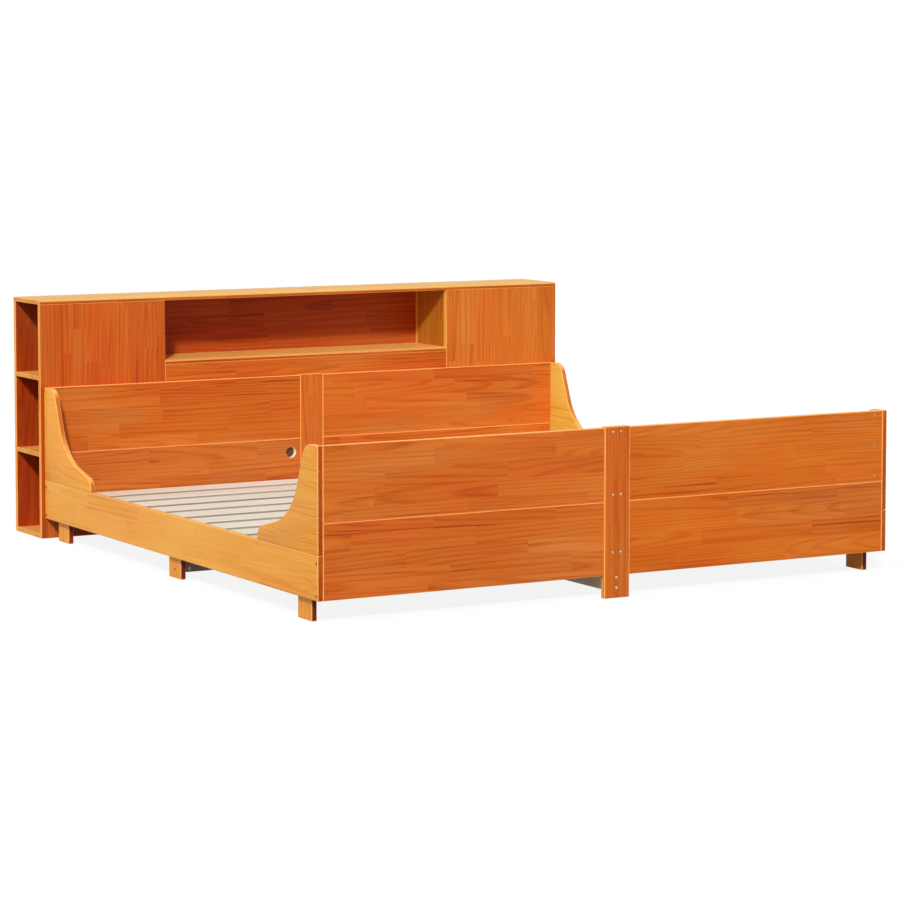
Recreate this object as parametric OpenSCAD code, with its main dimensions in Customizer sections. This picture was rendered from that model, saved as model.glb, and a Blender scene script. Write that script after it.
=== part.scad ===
// Solid timber double bed with a bookcase headboard.
// The foot of the bed faces -Y, its left side -X, and the floor is z = 0.

/* [Bed frame] */
// Width over the side rails
bed_w = 2054; // [1454:10:2254]
// Length over the foot and head panels
bed_l = 2052; // [1852:10:2252]
// Thickness of the frame boards
board_t = 18; // [17:1:24]
// Radius of the rounded arrises of the frame boards
arris_r = 3; // [1:0.5:4]
// Height of the rails and panels above the floor
rail_z = 70; // [60:5:140]
// Height of the side rails
rail_h = 134; // [110:2:170]
// Height of the foot and head panels
panel_h = 455; // [400:5:520]
// Width of the centre posts
post_w = 90; // [80:2:120]
// Rise of the centre posts above the panels
post_rise = 3; // [0:1:20]
// Stand of the foot post in front of its panel
post_proud = 3; // [1:1:8]

/* [Side brackets] */
// Length of a bracket along the rail
ear_l = 398; // [370:2:460]
// Width of the flat crown of a bracket
crown_w = 84; // [70:2:100]
// Height of the toe of a bracket
toe_h = 39; // [36:1:60]
// Lean of the steep edge from upright, in degrees
steep_lean = 21; // [16:1:24]
// Rise of the shallow edge from level, in degrees
shallow_rise = 13.6; // [10:0.2:16]
// Radius at the crown corner
crown_r = 50; // [20:2:56]
// Radius in the hollow
hollow_r = 210; // [80:5:220]
// Radius at the toe corner
toe_r = 42; // [15:1:44]

/* [Legs and beams] */
// Width of a leg
leg_w = 89; // [75:1:110]
// Lap of a leg on its rail
leg_lap = 34; // [28:1:44]
// Distance of the outer legs from the ends of the bed
leg_in = 75; // [40:5:200]
// Height of the slat ledgers
ledger_h = 30; // [22:1:40]
// Height of the centre beam
beam_h = 117; // [100:1:124]
// Height of the cross bar
bar_h = 89; // [80:1:95]

/* [Slats] */
// Number of slats
slat_count = 13; // [9:1:13]
// Width of a slat
slat_w = 109; // [70:1:125]
// Gap between the head panel and the last slat
slat_head_gap = 5; // [2:1:40]
// Gap between the foot panel and the first slat
slat_foot_gap = 66; // [5:1:90]
// Gap between a slat's end and the rail
slat_end_gap = 4; // [1:0.5:6]

/* [Bookcase] */
// Stand of the bookcase past each side rail
case_over = 13; // [0:1:40]
// Depth of the bookcase
case_d = 238; // [180:2:320]
// Height of the bookcase
case_h = 825; // [750:5:950]
// Thickness of the front and back panels
panel_t = 18; // [16:1:22]
// Thickness of the top, the shelves and the dividers
shelf_t = 15; // [14:1:20]
// Thickness of the bottom board
bottom_t = 16; // [14:1:20]
// Thickness of the thin back behind the middle
back_t = 8; // [5:0.5:12]
// Width of the open middle compartment
niche_w = 1136; // [900:2:1250]
// Height of the open middle compartment
niche_h = 210; // [150:5:260]
// Underside of the lower side shelves
low_shelf_z = 283; // [200:1:350]
// Underside of the upper side shelves
high_shelf_z = 548; // [450:1:620]
// Radius of the arrises of the bookcase boards
case_arris_r = 1.5; // [0.5:0.5:2.5]

/* [Cable hole] */
// Diameter of the cable hole
cable_d = 38; // [20:1:50]
// Distance of its axis from the centre post
cable_in = 39; // [32:1:120]
// Distance of its axis below the joint of the panel boards
cable_drop = 49.5; // [36:0.5:100]
// Width of the chamfer around its ends
cable_rim = 1.5; // [0.5:0.5:3]

/* [Joints] */
// Thickness of the board tongues in the posts
tongue_t = 8; // [6:0.5:9]
// Length of the board tongues in the posts
tongue_l = 36; // [28:1:38]
// Thickness of the tongue between two panel boards
seam_tongue_t = 6; // [4:0.5:7]
// Height of the tongue between two panel boards
seam_tongue_h = 8; // [5:0.5:12]
// Clearance on each side of a tongue or a lap
fit_gap = 0.2; // [0.1:0.05:0.5]
// Diameter of the bolts
bolt_d = 6; // [5:0.5:7]
// Diameter of the bolt heads
bolt_head_d = 10; // [9:0.5:12]
// Height of the bolt heads
bolt_head_h = 6; // [4:0.5:7]
// Distance of the barrel nuts from the end of a board
nut_in = 30; // [22:1:40]
// Diameter of the barrel nuts
nut_d = 10; // [9:0.5:12]
// Length of the barrel nuts
nut_l = 13; // [12:0.5:14]
// Radial clearance of bolts in the wood
bolt_play = 0.3; // [0.2:0.05:0.5]
// Diameter of the post pins
pin_d = 5; // [4:0.5:6]
// Diameter of the pin heads
pin_head_d = 9; // [8:0.5:11]
// Height of the pin heads and of the domed bolt heads
dome_h = 2.5; // [1.5:0.1:3]
// Diameter of the dowels
dowel_d = 8; // [6:0.5:8]
// Diameter of the screws
screw_d = 4; // [3.5:0.5:5]
// Radial clearance of nuts, pins, dowels and screws
snug = 0.1; // [0.05:0.05:0.2]

/* [Hidden] */
$fn = 32;
cut = 1;
wax_brown = [0.85, 0.47, 0.17];
raw_pine = [0.95, 0.86, 0.72];
zinc = [0.75, 0.76, 0.78];

// Places along the bed
front_proud = post_proud + dome_h;
total_l = front_proud + bed_l + case_d;
foot_y = front_proud - total_l / 2;
mid_y = foot_y + bed_l / 2;
head_y = foot_y + bed_l;
rail_x = bed_w / 2 - board_t;

// Heights of the bed
rail_top = rail_z + rail_h;
panel_top = rail_z + panel_h;
seam_z = rail_z + panel_h / 2;
leg_h = rail_z + leg_lap;
slat_z = leg_h + ledger_h;
beam_z = slat_z - beam_h;
lap_z = beam_z + bar_h / 2;

// Fasteners
bolt_edge = 14;
seam_bolt_rise = 20.5;
rail_bolt_drop = 24.5;
low_pin_rise = 71;
beam_bolt_gap = 32;
bar_bolt_rise = 11;
bar_bolt_gap = 56;
ear_bolt_z = spread(seam_z + seam_bolt_rise, panel_top - bolt_edge, 3);
rail_bolt_z = [rail_z + bolt_edge, rail_top - rail_bolt_drop];
beam_bolt_z = [beam_z + bolt_edge, beam_z + bolt_edge + beam_bolt_gap];
bar_bolt_z = [beam_z + bar_bolt_rise, beam_z + bar_bolt_rise + bar_bolt_gap];
pin_z = [rail_z + low_pin_rise, seam_z + seam_bolt_rise, panel_top - bolt_edge];
pin_x = 14;
pin_l = board_t;
pin_short = 3;
flush_pin_l = pin_l - pin_short;
head_recess = 0.5;
head_sink = bolt_head_h + head_recess;
sunk_wall = board_t - head_sink;
bolt_past = 3.5;
bolt_reach = nut_in + nut_d / 2 + bolt_past;
dome_spread = 1;
dome_d = bolt_head_d + dome_spread;
nut_spare = 1;
nut_depth = nut_l + nut_spare;
nut_slot = 1.4;
hex_w = 4;
hex_depth = 3;
hole_spare = 1.5;
pin_spare = 0.5;
dowel_long = 20;
dowel_short = 9;
dowel_chamfer = 0.8;
screw_head_d = 2 * screw_d;
screw_head_h = (screw_head_d - screw_d) / 2;
short_screw_l = 30;
long_screw_l = 40;
ear_dowel_y = [50, 190, 330];
leg_screw_dy = 30;
leg_screw_drop = 16;
slat_screw_in = 8;
ledger_screw_in = 60;
stop_in = 10;
tongue_shoulder = 5;
tongue_root = 10;

// Bracket outline: y from the end of the bed, z from the top of the rail
ear_h = panel_h - rail_h;
steep_t = tan(steep_lean);
shallow_t = tan(shallow_rise);
valley_z = (toe_h + (ear_l - crown_w - ear_h * steep_t) * shallow_t) / (1 - steep_t * shallow_t);
crown = [crown_w, ear_h];
valley = [crown_w + (ear_h - valley_z) * steep_t, valley_z];
toe = [ear_l, toe_h];
crown_round = rounding(crown, [0, ear_h], valley, crown_r);
hollow_round = rounding(valley, crown, toe, hollow_r);
toe_round = rounding(toe, valley, [ear_l, 0], toe_r);

// Bookcase
case_y = head_y;
case_back_y = case_y + case_d;
case_x = bed_w / 2 + case_over;
niche_x = niche_w / 2;
divider_mid = niche_x + shelf_t / 2;
inner_y = case_y + panel_t;
inner_d = case_d - 2 * panel_t;
case_top_z = case_h - shelf_t;
apron_h = case_top_z - niche_h - shelf_t;
niche_depth = case_d - back_t;
case_dowel_in = 60;
niche_dowel_in = 110;
divider_dowel_in = 45;
divider_dowel_rise = 150;
divider_dowel_drop = 110;
panel_xs = spread(niche_x + case_dowel_in, case_x - case_dowel_in, 3);
niche_xs = spread(-niche_x + niche_dowel_in, niche_x - niche_dowel_in, 3);
divider_ys = spread(inner_y + divider_dowel_in, inner_y + inner_d - divider_dowel_in, 2);
divider_zs = spread(divider_dowel_rise, case_top_z - divider_dowel_drop, 3);

// Slats
slat_l = 2 * (rail_x - slat_end_gap);
slat_run = bed_l - 2 * board_t - slat_foot_gap - slat_head_gap - slat_w;

// Directions as turns of +X
to_right = [0, 0, 0];
to_left = [0, 0, 180];
to_back = [0, 0, 90];
to_front = [0, 0, -90];
up = [0, -90, 0];
down = [0, 90, 0];

// Evenly spaced numbers from a to b
function spread(a, b, n) = [for (i = [0:n - 1]) a + (b - a) * i / (n - 1)];

function unit(v) = v / norm(v);

// Rounding of the corner p between its neighbours a and b:
// the tangent point towards a, the centre, and the tangent point towards b
function rounding(p, a, b, r) =
    let (u = unit(a - p), v = unit(b - p), half = acos(u * v) / 2)
    [p + u * r / tan(half), p + unit(u + v) * r / sin(half), p + v * r / tan(half)];

// Points along that rounding, in n steps
function arc(round, r, n) =
    let (
        from = round[0] - round[1],
        to = round[2] - round[1],
        start = atan2(from.y, from.x),
        turn = atan2(to.y, to.x) - start,
        sweep = turn > 180 ? turn - 360 : turn < -180 ? turn + 360 : turn
    )
    [for (i = [0:n]) round[1] + r * [cos(start + sweep * i / n), sin(start + sweep * i / n)]];

// A y at the given distance in from the outer face of the foot (-1) or head (1)
function y_at(end, d) = end < 0 ? foot_y + d : head_y - d;

// Middle of a leg, for row -1, 0 or 1 from foot to head
function leg_y(row) = mid_y + row * (bed_l / 2 - leg_in - leg_w / 2);

function slat_y(i) = foot_y + board_t + slat_foot_gap + slat_run * (i - 1) / (slat_count - 1);

// Screws: place of the head's face, direction, length
function leg_screws(side, row) = [
    for (d = [-leg_screw_dy, leg_screw_dy])
        [[side * (rail_x - board_t), leg_y(row) + d, leg_h - leg_screw_drop],
            side < 0 ? to_left : to_right, short_screw_l]
];

function centre_leg_screws() = [
    for (d = [-leg_screw_dy, leg_screw_dy])
        [[-board_t * 3 / 2, centre_leg_y() + leg_w / 2 + d, leg_h - leg_screw_drop],
            to_right, short_screw_l]
];

function ledger_screws(side) = [
    for (y = spread(foot_y + board_t + ledger_screw_in, head_y - board_t - ledger_screw_in, 8))
        [[side * (rail_x - board_t), y, leg_h + ledger_h / 2],
            side < 0 ? to_left : to_right, short_screw_l]
];

function slat_screws(i) = [
    for (side = [-1, 1])
        [[side * (slat_l / 2 - slat_screw_in), slat_y(i) + slat_w / 2, slat_z + board_t],
            down, short_screw_l]
];

function all_slat_screws() = [for (i = [1:slat_count], s = slat_screws(i)) s];

function thin_back_screws(z) = [for (x = niche_xs) [[x, case_back_y, z], to_front, short_screw_l]];

function divider_screws(side) = [
    for (z = divider_zs) [[side * divider_mid, case_back_y, z], to_front, long_screw_l]
];

// Dowels: place of the joint, direction, depth behind the joint, depth ahead of it
function ear_dowels(side, end) = [
    for (d = ear_dowel_y)
        [[side * (rail_x + board_t / 2), y_at(end, d), rail_top], up, dowel_long, dowel_long]
];

function top_dowels(side) = concat(
    [for (x = panel_xs, y = [case_y + panel_t / 2, case_back_y - panel_t / 2])
        [[side * x, y, case_top_z], up, dowel_long, dowel_short]],
    [for (y = divider_ys) [[side * divider_mid, y, case_top_z], up, dowel_long, dowel_short]]
);

function bottom_dowels(side) = [
    for (x = panel_xs, end = [-1, 1]) panel_dowel(side * x, end, bottom_t / 2)
];

function shelf_dowels(side, z) = [
    for (x = [panel_xs[0], panel_xs[2]], end = [-1, 1]) panel_dowel(side * x, end, z + shelf_t / 2)
];

function divider_dowels(side) = [for (z = divider_zs) panel_dowel(side * divider_mid, -1, z)];

function apron_dowels() = concat(
    [for (x = niche_xs) panel_dowel(x, -1, bottom_t / 2)],
    [for (x = niche_xs) [[x, case_y + panel_t / 2, apron_h], up, dowel_long, dowel_short]]
);

function niche_dowels(side) = [
    for (y = divider_ys)
        [[side * niche_x, y, apron_h + shelf_t / 2], side < 0 ? to_left : to_right,
            dowel_long, dowel_short]
];

// Dowel between the front (-1) or back (1) panel and a board behind or before it
function panel_dowel(x, end, z) = end < 0
    ? [[x, inner_y, z], to_back, dowel_short, dowel_long]
    : [[x, inner_y + inner_d, z], to_front, dowel_short, dowel_long];

function centre_leg_y() = mid_y + board_t / 2;

module rounded_rect(w, h, r) {
    translate([r, 0]) square([w - 2 * r, h]);
    translate([0, r]) square([w, h - 2 * r]);
    for (x = [r, w - r], y = [r, h - r]) translate([x, y]) circle(r);
}

// A board with its low corner at p, its size s and all arrises rounded
module board(p, s, r) {
    translate(p) intersection() {
        linear_extrude(s.z) rounded_rect(s.x, s.y, r);
        translate([0, s.y, 0]) rotate([90, 0, 0]) linear_extrude(s.y) rounded_rect(s.x, s.z, r);
        rotate([90, 0, 90]) linear_extrude(s.x) rounded_rect(s.y, s.z, r);
    }
}

// Draws what is modelled for the left foot corner at any corner of the bed
module corner(side, end) {
    translate([0, end > 0 ? foot_y + head_y : 0, 0])
        mirror([0, end > 0 ? 1 : 0, 0])
            mirror([side > 0 ? 1 : 0, 0, 0]) children();
}

// Draws what is modelled on the left on either side
module sided(side) {
    mirror([side > 0 ? 1 : 0, 0, 0]) children();
}

// Domed head on the face x = 0, towards -X
module dome(d) {
    ball_r = (d * d / 4 + dome_h * dome_h) / (2 * dome_h);
    rotate([0, -90, 0]) rotate_extrude() intersection() {
        translate([0, dome_h - ball_r]) circle(ball_r);
        square([d / 2, dome_h]);
    }
}

// Bolt along X: it crosses the joint at x = 0, and its head seats at x = -wall
module bolt(wall, domed) {
    rotate([0, 90, 0]) translate([0, 0, -wall]) cylinder(h = wall + bolt_reach, d = bolt_d);
    if (domed) {
        translate([-wall, 0, 0]) dome(dome_d);
    } else {
        translate([-wall - bolt_head_h, 0, 0]) rotate([0, 90, 0]) difference() {
            cylinder(h = bolt_head_h, d = bolt_head_d);
            translate([0, 0, -cut]) cylinder(h = hex_depth + cut, d = hex_w / cos(30), $fn = 6);
        }
    }
}

// Barrel nut of that bolt, let in from the face on the side nut_side of the bolt
module barrel_nut(nut_side) {
    translate([nut_in, nut_side * (board_t / 2 - nut_depth), 0]) rotate([-nut_side * 90, 0, 0])
        difference() {
            cylinder(h = nut_l, d = nut_d);
            translate([0, 0, nut_depth - board_t / 2]) rotate([0, 90, 0])
                cylinder(h = nut_d + 2 * cut, d = bolt_d + 2 * snug, center = true);
            translate([-nut_d, -nut_slot / 2, nut_l - nut_slot])
                cube([2 * nut_d, nut_slot, nut_slot + cut]);
        }
}

// Holes for the bolt and its nut
module bolt_space(wall, domed, nut_side) {
    rotate([0, 90, 0]) translate([0, 0, -wall - cut])
        cylinder(h = wall + cut + bolt_reach + hole_spare, d = bolt_d + 2 * bolt_play);
    if (!domed) {
        translate([-wall, 0, 0]) rotate([0, -90, 0])
            cylinder(h = head_sink + cut, d = bolt_head_d + 2 * bolt_play);
    }
    translate([nut_in, nut_side * (board_t / 2 + cut), 0]) rotate([nut_side * 90, 0, 0])
        cylinder(h = nut_depth + cut, d = nut_d + 2 * snug);
}

// Places of the bolts, with local X along the bolt
module at_panel_bolts(heights) {
    for (z = heights) translate([-rail_x, foot_y + board_t / 2, z]) children();
}

module at_bar_bolts(side) {
    for (z = bar_bolt_z) sided(side) translate([board_t - rail_x, mid_y, z]) children();
}

module at_beam_bolts(end) {
    for (z = beam_bolt_z) translate([0, y_at(end, board_t), z]) rotate([0, 0, -90 * end]) children();
}

module panel_bolt_spaces(heights, nut_side) {
    at_panel_bolts(heights) bolt_space(sunk_wall, false, nut_side);
}

module bar_bolt_spaces(side) {
    at_bar_bolts(side) bolt_space(sunk_wall, false, -1);
}

module beam_bolt_spaces(end) {
    wall = end < 0 ? board_t + post_proud : sunk_wall;
    at_beam_bolts(end) bolt_space(wall, end < 0, -end);
}

// Pins go in from the front face of each post
module at_pins(end) {
    face_y = end < 0 ? foot_y - post_proud : head_y - board_t;
    for (x = [-pin_x, pin_x], z = pin_z) translate([x, face_y, z]) rotate(to_back) children();
}

module pin(domed) {
    rotate([0, 90, 0]) cylinder(h = domed ? pin_l : flush_pin_l, d = pin_d);
    if (domed) {
        dome(pin_head_d);
    } else {
        rotate([0, 90, 0]) cylinder(h = dome_h, d = pin_head_d);
    }
}

module pin_space(domed) {
    translate([-cut, 0, 0]) rotate([0, 90, 0])
        cylinder(h = (domed ? pin_l : flush_pin_l) + cut + pin_spare, d = pin_d + 2 * snug);
    if (!domed) {
        translate([-cut, 0, 0]) rotate([0, 90, 0])
            cylinder(h = dome_h + cut, d = pin_head_d + 2 * snug);
    }
}

module screw(s) {
    translate(s[0]) rotate(s[1]) rotate([0, 90, 0]) {
        cylinder(h = screw_head_h, d1 = screw_head_d, d2 = screw_d);
        cylinder(h = s[2], d = screw_d);
    }
}

module screw_spaces(list) {
    for (s = list) translate(s[0]) rotate(s[1]) rotate([0, 90, 0]) {
        translate([0, 0, -cut]) cylinder(h = cut, d = screw_head_d + 2 * snug);
        cylinder(h = screw_head_h, d1 = screw_head_d + 2 * snug, d2 = screw_d + 2 * snug);
        cylinder(h = s[2] + hole_spare, d = screw_d + 2 * snug);
    }
}

module dowel(s) {
    l = s[2] + s[3];
    r = dowel_d / 2;
    c = dowel_chamfer;
    translate(s[0]) rotate(s[1]) rotate([0, 90, 0]) translate([0, 0, -s[2]])
        rotate_extrude() polygon([[0, 0], [r - c, 0], [r, c], [r, l - c], [r - c, l], [0, l]]);
}

module dowel_spaces(list) {
    for (s = list) translate(s[0]) rotate(s[1]) rotate([0, 90, 0])
        translate([0, 0, -s[2] - hole_spare / 2])
            cylinder(h = s[2] + s[3] + hole_spare, d = dowel_d + 2 * snug);
}

module side_rail(side) {
    color(wax_brown) difference() {
        sided(side) board([-bed_w / 2, foot_y, rail_z], [board_t, bed_l, rail_h], arris_r);
        for (end = [-1, 1]) {
            corner(side, end) panel_bolt_spaces(rail_bolt_z, 1);
            dowel_spaces(ear_dowels(side, end));
        }
        for (row = [-1, 0, 1]) screw_spaces(leg_screws(side, row));
        screw_spaces(ledger_screws(side));
    }
}

module ear_outline() {
    polygon(concat(
        [[0, 0], [0, ear_h]],
        arc(crown_round, crown_r, 12),
        arc(hollow_round, hollow_r, 20),
        arc(toe_round, toe_r, 12),
        [[ear_l, 0]]
    ));
}

module ear(side, end) {
    color(wax_brown) difference() {
        corner(side, end) intersection() {
            translate([-bed_w / 2, foot_y, rail_top])
                rotate([90, 0, 90]) linear_extrude(board_t) ear_outline();
            board([-bed_w / 2, foot_y, rail_top], [board_t, ear_l, ear_h], arris_r);
        }
        corner(side, end) panel_bolt_spaces(ear_bolt_z, 1);
        dowel_spaces(ear_dowels(side, end));
    }
}

// Tongue on the inner end of a panel board, in its post
module post_tongue(z0, z1) {
    translate([-post_w / 2 - tongue_root, foot_y + (board_t - tongue_t) / 2, z0])
        cube([tongue_root + tongue_l, tongue_t, z1 - z0]);
}

// Tongue or groove along the joint of the two panel boards, larger by the gap
module seam_tongue(gap) {
    translate([-rail_x + stop_in - gap, foot_y + (board_t - seam_tongue_t) / 2 - gap,
        seam_z - seam_tongue_h - 2 * gap])
        cube([rail_x - post_w / 2 - 2 * stop_in + 2 * gap, seam_tongue_t + 2 * gap,
            seam_tongue_h + 2 * gap + cut]);
}

module panel_board_blank(z) {
    board([-rail_x, foot_y, z], [rail_x - post_w / 2, board_t, panel_h / 2], arris_r);
}

module panel_board_lower(side, end) {
    color(wax_brown) difference() {
        corner(side, end) difference() {
            union() {
                panel_board_blank(rail_z);
                post_tongue(rail_z + tongue_shoulder, seam_z);
            }
            seam_tongue(fit_gap);
            panel_bolt_spaces(rail_bolt_z, 1);
        }
        at_pins(end) pin_space(end < 0);
    }
}

module panel_board_upper(side, end) {
    color(wax_brown) difference() {
        corner(side, end) difference() {
            union() {
                panel_board_blank(seam_z);
                post_tongue(seam_z, panel_top - tongue_shoulder);
                seam_tongue(0);
            }
            panel_bolt_spaces(ear_bolt_z, -side);
        }
        at_pins(end) pin_space(end < 0);
    }
}

// Cable hole through the head panel, with a chamfer at both ends
module cable_space() {
    rim_h = cable_rim + cut;
    rim_d = cable_d + 2 * rim_h;
    translate([-post_w / 2 - cable_in, head_y, seam_z - cable_drop]) rotate([90, 0, 0]) {
        translate([0, 0, -cut]) cylinder(h = board_t + 2 * cut, d = cable_d);
        translate([0, 0, -cut]) cylinder(h = rim_h, d1 = rim_d, d2 = cable_d);
        translate([0, 0, board_t - cable_rim]) cylinder(h = rim_h, d1 = cable_d, d2 = rim_d);
    }
}

module head_board_lower_left() {
    difference() {
        panel_board_lower(-1, 1);
        cable_space();
    }
}

module post(end) {
    proud = end < 0 ? post_proud : 0;
    color(wax_brown) difference() {
        corner(-1, end) difference() {
            board([-post_w / 2, foot_y - proud, 0],
                [post_w, board_t + proud, panel_top + post_rise], arris_r);
            for (x = [-post_w / 2 - cut, post_w / 2 - tongue_l - stop_gap()])
                translate([x, foot_y + (board_t - tongue_t) / 2 - fit_gap,
                    rail_z + tongue_shoulder - fit_gap])
                    cube([tongue_l + stop_gap() + cut, tongue_t + 2 * fit_gap,
                        panel_h - 2 * tongue_shoulder + 2 * fit_gap]);
        }
        at_pins(end) pin_space(end < 0);
        beam_bolt_spaces(end);
    }
}

// Room past the end of a tongue
function stop_gap() = 1;

module leg(side, row) {
    color(wax_brown) difference() {
        sided(side) board([-rail_x, leg_y(row) - leg_w / 2, 0], [board_t, leg_w, leg_h], arris_r);
        screw_spaces(leg_screws(side, row));
        if (row == 0) bar_bolt_spaces(side);
    }
}

module slat_ledger(side) {
    color(raw_pine) difference() {
        sided(side) board([-rail_x, foot_y + board_t, leg_h],
            [board_t, bed_l - 2 * board_t, ledger_h], case_arris_r);
        screw_spaces(ledger_screws(side));
        screw_spaces(all_slat_screws());
    }
}

module centre_beam() {
    color(raw_pine) difference() {
        board([-board_t / 2, foot_y + board_t, beam_z],
            [board_t, bed_l - 2 * board_t, beam_h], case_arris_r);
        translate([-board_t, mid_y - board_t / 2 - fit_gap, beam_z - cut])
            cube([2 * board_t, board_t + 2 * fit_gap, lap_z - beam_z + cut]);
        for (end = [-1, 1]) beam_bolt_spaces(end);
        screw_spaces(centre_leg_screws());
    }
}

module mid_cross_bar() {
    color(raw_pine) difference() {
        board([board_t - rail_x, mid_y - board_t / 2, beam_z],
            [2 * (rail_x - board_t), board_t, bar_h], case_arris_r);
        translate([-board_t / 2 - fit_gap, mid_y - board_t, lap_z])
            cube([board_t + 2 * fit_gap, 2 * board_t, bar_h]);
        for (side = [-1, 1]) bar_bolt_spaces(side);
    }
}

module centre_leg() {
    color(raw_pine) difference() {
        board([-board_t * 3 / 2, centre_leg_y(), 0], [board_t, leg_w, leg_h], arris_r);
        screw_spaces(centre_leg_screws());
    }
}

module slat(i) {
    color(raw_pine) difference() {
        board([-slat_l / 2, slat_y(i), slat_z], [slat_l, slat_w, board_t], case_arris_r);
        screw_spaces(slat_screws(i));
    }
}

module case_top() {
    color(wax_brown) difference() {
        board([-case_x, case_y, case_top_z], [2 * case_x, case_d, shelf_t], case_arris_r);
        for (side = [-1, 1]) dowel_spaces(top_dowels(side));
    }
}

module case_bottom() {
    color(wax_brown) difference() {
        union() {
            board([-case_x, inner_y, 0], [2 * case_x, inner_d, bottom_t], case_arris_r);
            board([-niche_x, inner_y, 0], [niche_w, niche_depth - panel_t, bottom_t], case_arris_r);
        }
        for (side = [-1, 1]) dowel_spaces(bottom_dowels(side));
        dowel_spaces(apron_dowels());
        screw_spaces(thin_back_screws(bottom_t / 2));
    }
}

module case_front(side) {
    color(wax_brown) difference() {
        sided(side) board([-case_x, case_y, 0], [case_x - niche_x, panel_t, case_top_z], case_arris_r);
        dowel_spaces(top_dowels(side));
        dowel_spaces(bottom_dowels(side));
        dowel_spaces(shelf_dowels(side, low_shelf_z));
        dowel_spaces(shelf_dowels(side, high_shelf_z));
        dowel_spaces(divider_dowels(side));
    }
}

module case_back(side) {
    color(wax_brown) difference() {
        sided(side) board([-case_x, case_back_y - panel_t, 0],
            [case_x - niche_x, panel_t, case_top_z], case_arris_r);
        dowel_spaces(top_dowels(side));
        dowel_spaces(bottom_dowels(side));
        dowel_spaces(shelf_dowels(side, low_shelf_z));
        dowel_spaces(shelf_dowels(side, high_shelf_z));
        screw_spaces(divider_screws(side));
    }
}

module case_apron() {
    color(wax_brown) difference() {
        board([-niche_x, case_y, 0], [niche_w, panel_t, apron_h], case_arris_r);
        dowel_spaces(apron_dowels());
    }
}

module case_shelf_centre() {
    color(wax_brown) difference() {
        board([-niche_x, case_y, apron_h], [niche_w, niche_depth, shelf_t], case_arris_r);
        dowel_spaces(apron_dowels());
        for (side = [-1, 1]) dowel_spaces(niche_dowels(side));
        screw_spaces(thin_back_screws(apron_h + shelf_t / 2));
    }
}

module case_back_centre() {
    color(wax_brown) difference() {
        board([-niche_x, case_back_y - back_t, 0], [niche_w, back_t, case_top_z], case_arris_r);
        screw_spaces(thin_back_screws(bottom_t / 2));
        screw_spaces(thin_back_screws(apron_h + shelf_t / 2));
    }
}

module case_divider(side) {
    color(wax_brown) difference() {
        sided(side) board([-niche_x - shelf_t, inner_y, bottom_t],
            [shelf_t, inner_d, case_top_z - bottom_t], case_arris_r);
        dowel_spaces(top_dowels(side));
        dowel_spaces(divider_dowels(side));
        dowel_spaces(niche_dowels(side));
        screw_spaces(divider_screws(side));
    }
}

module case_shelf(side, z) {
    color(wax_brown) difference() {
        sided(side) board([-case_x, inner_y, z],
            [case_x - niche_x - shelf_t, inner_d, shelf_t], case_arris_r);
        dowel_spaces(shelf_dowels(side, z));
    }
}

module frame_bolts() {
    color(zinc) {
        for (side = [-1, 1]) {
            for (end = [-1, 1])
                corner(side, end) at_panel_bolts(concat(rail_bolt_z, ear_bolt_z)) bolt(sunk_wall, false);
            at_bar_bolts(side) bolt(sunk_wall, false);
        }
        at_beam_bolts(-1) bolt(board_t + post_proud, true);
        at_beam_bolts(1) bolt(sunk_wall, false);
    }
}

module barrel_nuts() {
    color(zinc) for (side = [-1, 1]) {
        for (end = [-1, 1]) corner(side, end) {
            at_panel_bolts(rail_bolt_z) barrel_nut(1);
            at_panel_bolts(ear_bolt_z) barrel_nut(-side);
        }
        at_bar_bolts(side) barrel_nut(-1);
        at_beam_bolts(side) barrel_nut(-side);
    }
}

module post_pins() {
    color(zinc) for (end = [-1, 1]) at_pins(end) pin(end < 0);
}

module screws() {
    color(zinc) {
        for (s = all_slat_screws()) screw(s);
        for (s = centre_leg_screws()) screw(s);
        for (z = [bottom_t / 2, apron_h + shelf_t / 2], s = thin_back_screws(z)) screw(s);
        for (side = [-1, 1]) {
            for (s = ledger_screws(side)) screw(s);
            for (s = divider_screws(side)) screw(s);
            for (row = [-1, 0, 1], s = leg_screws(side, row)) screw(s);
        }
    }
}

module dowels() {
    color(raw_pine) {
        for (s = apron_dowels()) dowel(s);
        for (side = [-1, 1]) {
            for (end = [-1, 1], s = ear_dowels(side, end)) dowel(s);
            for (s = top_dowels(side)) dowel(s);
            for (s = bottom_dowels(side)) dowel(s);
            for (z = [low_shelf_z, high_shelf_z], s = shelf_dowels(side, z)) dowel(s);
            for (s = divider_dowels(side)) dowel(s);
            for (s = niche_dowels(side)) dowel(s);
        }
    }
}

side_rail(-1);  // side_rail_left
side_rail(1);  // side_rail_right
ear(-1, -1);  // ear_foot_left
ear(1, -1);  // ear_foot_right
ear(-1, 1);  // ear_head_left
ear(1, 1);  // ear_head_right
panel_board_lower(-1, -1);  // foot_board_lower_left
panel_board_lower(1, -1);  // foot_board_lower_right
panel_board_upper(-1, -1);  // foot_board_upper_left
panel_board_upper(1, -1);  // foot_board_upper_right
head_board_lower_left();
panel_board_lower(1, 1);  // head_board_lower_right
panel_board_upper(-1, 1);  // head_board_upper_left
panel_board_upper(1, 1);  // head_board_upper_right
post(-1);  // foot_post
post(1);  // head_post
leg(-1, -1);  // leg_foot_left
leg(-1, 0);  // leg_mid_left
leg(-1, 1);  // leg_head_left
leg(1, -1);  // leg_foot_right
leg(1, 0);  // leg_mid_right
leg(1, 1);  // leg_head_right
centre_beam();
mid_cross_bar();
centre_leg();
slat_ledger(-1);  // slat_ledger_left
slat_ledger(1);  // slat_ledger_right
for (i = [1:slat_count])
    slat(i);
case_top();
case_bottom();
case_apron();
case_shelf_centre();
case_back_centre();
case_front(-1);  // case_front_left
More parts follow.
